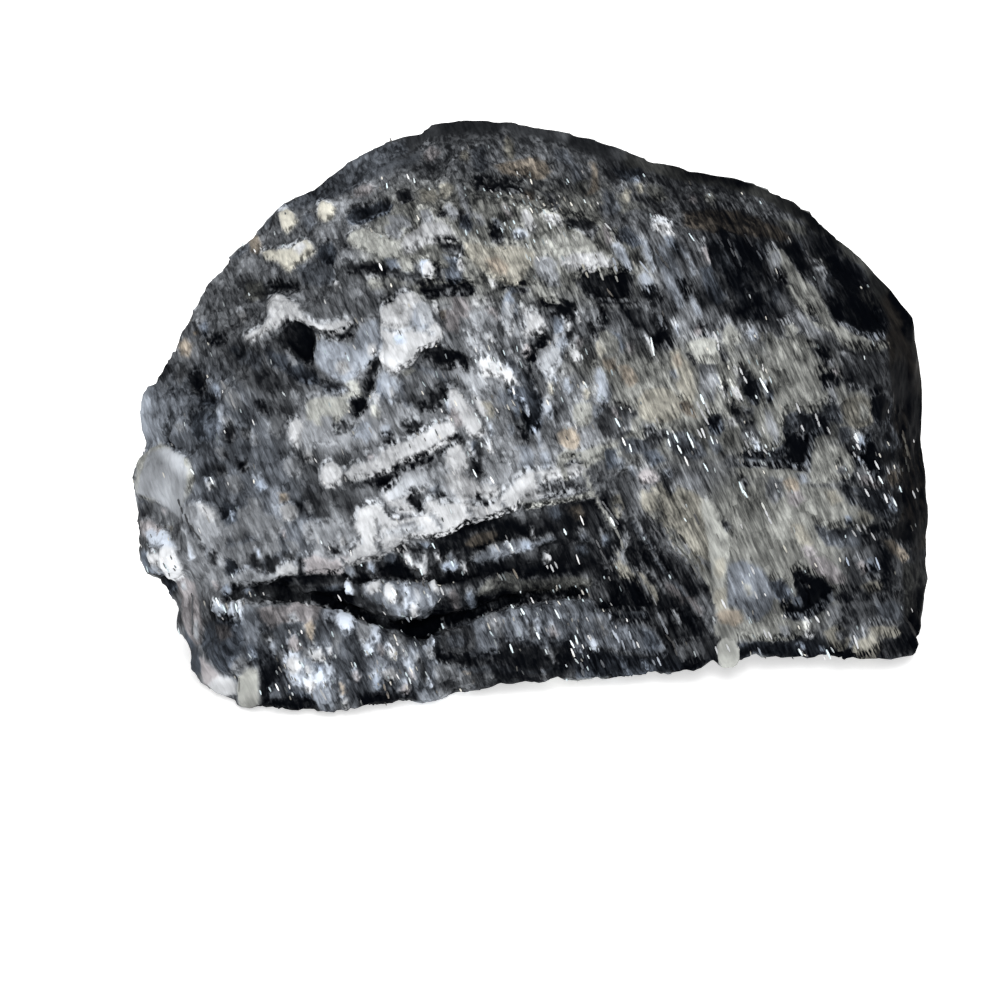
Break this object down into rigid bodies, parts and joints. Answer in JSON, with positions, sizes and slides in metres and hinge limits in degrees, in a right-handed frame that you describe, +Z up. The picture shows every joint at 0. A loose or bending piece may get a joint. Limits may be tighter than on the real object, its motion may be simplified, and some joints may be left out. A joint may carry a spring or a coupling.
{
  "type": "mineral specimen",
  "caption": "Rough broken lump of black tourmaline streaked with mica and quartz, with cracks and ledges across its broad face, resting on a flat foot.",
  "frame": {"origin": "middle of the stone's extent across and in depth, at the level of its flat foot", "axes": "+X to the right along the broad face, -Y out towards someone who looks at the broad face, +Z up"},
  "size_m": [0.0784, 0.0476, 0.0515],
  "materials": {
    "black_tourmaline": "glassy black, streaked grey, white and cream"
  },
  "bodies": {
    "root": {"black_tourmaline": "black_tourmaline"}
  },
  "joints": []
}
